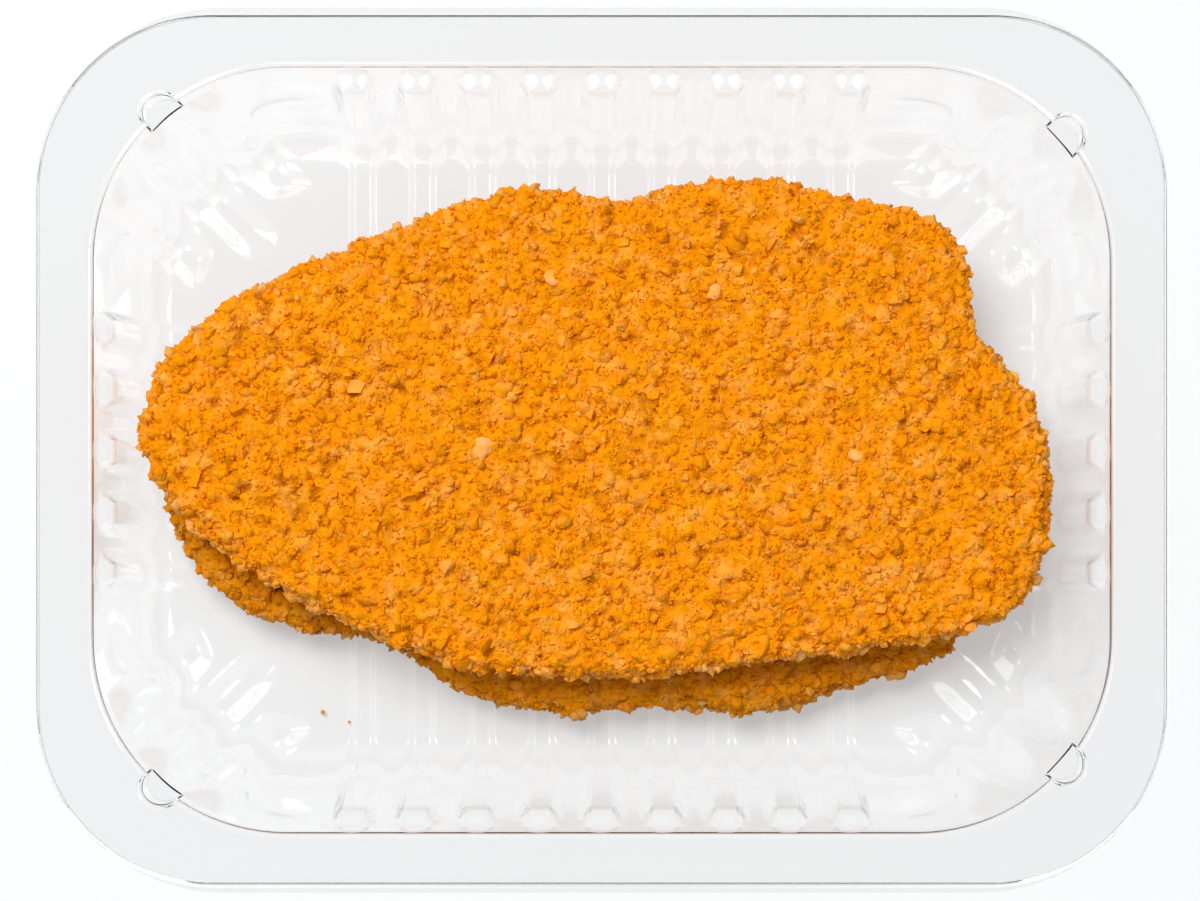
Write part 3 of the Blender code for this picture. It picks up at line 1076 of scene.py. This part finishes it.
# %% [markdown]
# ## The studio
# The tray stands on a plain white table under soft light. The lights of a real studio
# do two jobs at once: they light the food and they are mirrored in the plastic. Here
# the jobs are shared out, which makes both easy to set. One large light high on the
# left and behind lights the scene and casts the soft shadow in front of the cuts. Four
# weaker panels show only in the plastic and draw the glints on ribs and fingers.
#
# ### The table
# Clear plastic is judged by what is behind it, so the table must be even and nearly
# white. A table that only reflects light would need so much of it that the shadows
# turned black. Part of its brightness is therefore emission, like a light table's. It
# fills a view from above, but from very low its far edge comes into sight.

# %% Table
TABLE_SIZE = 3.0        # metres
TABLE_GAP = 0.15        # millimetres between the table and the tray
TABLE_TONE = (0.51, 0.52, 0.527)    # a little blue, against the orange that the food casts
TABLE_GLOW = 0.37


def make_table():
    """A level white table just under the tray."""
    bm = bmesh.new()
    bmesh.ops.create_grid(bm, x_segments=8, y_segments=8, size=TABLE_SIZE / 2)
    mesh = bpy.data.meshes.new("table_top")
    bm.to_mesh(mesh)
    bm.free()
    top = add_piece("table_top", mesh)
    top.location.z = -TABLE_GAP * MM
    finish = bpy.data.materials.new("white_table")
    finish.use_nodes = True
    shader = finish.node_tree.nodes["Principled BSDF"]
    shader.inputs["Base Color"].default_value = (*TABLE_TONE, 1.0)
    shader.inputs["Emission Color"].default_value = (1.0, 1.0, 1.0, 1.0)
    shader.inputs["Emission Strength"].default_value = TABLE_GLOW
    shader.inputs["Roughness"].default_value = 1.0
    shader.inputs["Specular IOR Level"].default_value = 0.0
    mesh.materials.append(finish)
    top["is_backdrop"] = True


make_table()
print("table:", TABLE_SIZE, "m wide")

# %% [markdown]
# ### The lights
# Area lights give soft shadows, and the larger the light, the softer. A place in the
# studio is easiest to think of as a direction and a distance from the tray. The panels
# stand where the ribs' flanks and the fingers' ends mirror them upwards.

# %% Lights
KEY_PLACE, KEY_SIZE, KEY_POWER = (-35, 62, 2.6), 1.22, 59.0
PANELS = {      # direction, height, distance; width and height in metres; power in watts
    "panel_front_right": ((143, 28, 1.5), (1.2, 1.9), 9.4),
    "panel_front_left": ((-145, 28, 1.5), (1.2, 1.9), 11.0),
    "panel_left": ((-70, 60, 1.6), (0.45, 0.45), 1.0),
    "panel_right": ((70, 60, 1.6), (0.45, 0.45), 2.4),
}


def from_angles(azimuth, elevation, distance):
    """A point seen from the tray at an azimuth (0 = behind, 90 = right) and elevation."""
    a, e = math.radians(azimuth), math.radians(elevation)
    return Vector((math.sin(a) * math.cos(e), math.cos(a) * math.cos(e), math.sin(e))) * distance


def soft_light(name, place, size, power):
    """An area light that looks at the tray's middle."""
    data = bpy.data.lights.new(name, "AREA")
    data.shape = "RECTANGLE"
    data.size, data.size_y = size
    data.energy = power
    light = bpy.data.objects.new(name, data)
    bpy.context.scene.collection.objects.link(light)
    light.location = from_angles(*place)
    light.rotation_euler = (-light.location).to_track_quat("-Z", "Y").to_euler()
    return light


key = soft_light("key_light", KEY_PLACE, (KEY_SIZE, KEY_SIZE), KEY_POWER)
key.visible_glossy = False
key.visible_transmission = False
for name, (place, size, power) in PANELS.items():
    panel = soft_light(name, place, size, power)
    panel.visible_diffuse = False
    print(name, "at", [round(v, 2) for v in panel.location], "m")

# %% [markdown]
# ### The room
# Light from all around fills the shadows, and every curve of the plastic mirrors some
# part of the room. A room of one tone would leave the plastic flat, so a ramp goes from
# a dark floor through pale walls to a darker ceiling. The world's own direction drives
# it, with no picture needed.

# %% Room
ROOM_TONES = ((0.0, 0.05), (0.12, 0.1), (0.35, 0.55), (0.8, 0.6), (0.955, 0.25), (1.0, 0.15))
ROOM_STRENGTH = 1.0


def make_room():
    """A world that is darkest below and right above."""
    world = bpy.data.worlds.new("pale_room")
    world.use_nodes = True
    nodes, links = world.node_tree.nodes, world.node_tree.links
    where = nodes.new("ShaderNodeTexCoord")
    parts = nodes.new("ShaderNodeSeparateXYZ")
    tones = nodes.new("ShaderNodeValToRGB")
    links.new(where.outputs["Generated"], parts.inputs["Vector"])
    links.new(parts.outputs["Z"], tones.inputs["Fac"])
    while len(tones.color_ramp.elements) < len(ROOM_TONES):
        tones.color_ramp.elements.new(0.5)
    for element, (place, tone) in zip(tones.color_ramp.elements, ROOM_TONES):
        element.position = place
        element.color = (tone, tone, tone, 1.0)
    links.new(tones.outputs["Color"], nodes["Background"].inputs["Color"])
    nodes["Background"].inputs["Strength"].default_value = ROOM_STRENGTH
    return world


bpy.context.scene.world = make_room()
print("room tones from", ROOM_TONES[0][1], "below to", ROOM_TONES[-1][1], "above")

# %% [markdown]
# ### The camera
# The camera hangs straight above, a little in front of the middle, and looks straight
# down: the front of the cuts shows and the back doesn't. A lens shift then brings the
# tray back to the middle of the frame without tilting the view, as a shift lens does.

# %% Camera
CAMERA_PLACE = (0.0, -28.5, 817.0)
LENS = 116.5
SHIFT = (-0.0014, 0.118)


def make_camera():
    """A camera that looks straight down."""
    data = bpy.data.cameras.new("camera")
    data.sensor_width = 36.0
    data.lens = LENS
    data.shift_x, data.shift_y = SHIFT
    data.clip_start = 0.05
    camera = bpy.data.objects.new("camera", data)
    bpy.context.scene.collection.objects.link(camera)
    camera.location = Vector(CAMERA_PLACE) * MM
    return camera


bpy.context.scene.camera = make_camera()
bpy.context.scene.view_settings.view_transform = "Standard"
print("camera", CAMERA_PLACE[2], "mm above the table")

# %% [markdown]
# ### The sizes
# The detailed model must be as large as the frame, so we print the box round everything
# that is drawn.

# %% Sizes and finish
visual_low, visual_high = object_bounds()
for axis, low, high in zip("xyz", visual_low, visual_high):
    print(axis, "from", round(low / MM, 2), "to", round(high / MM, 2), "mm")
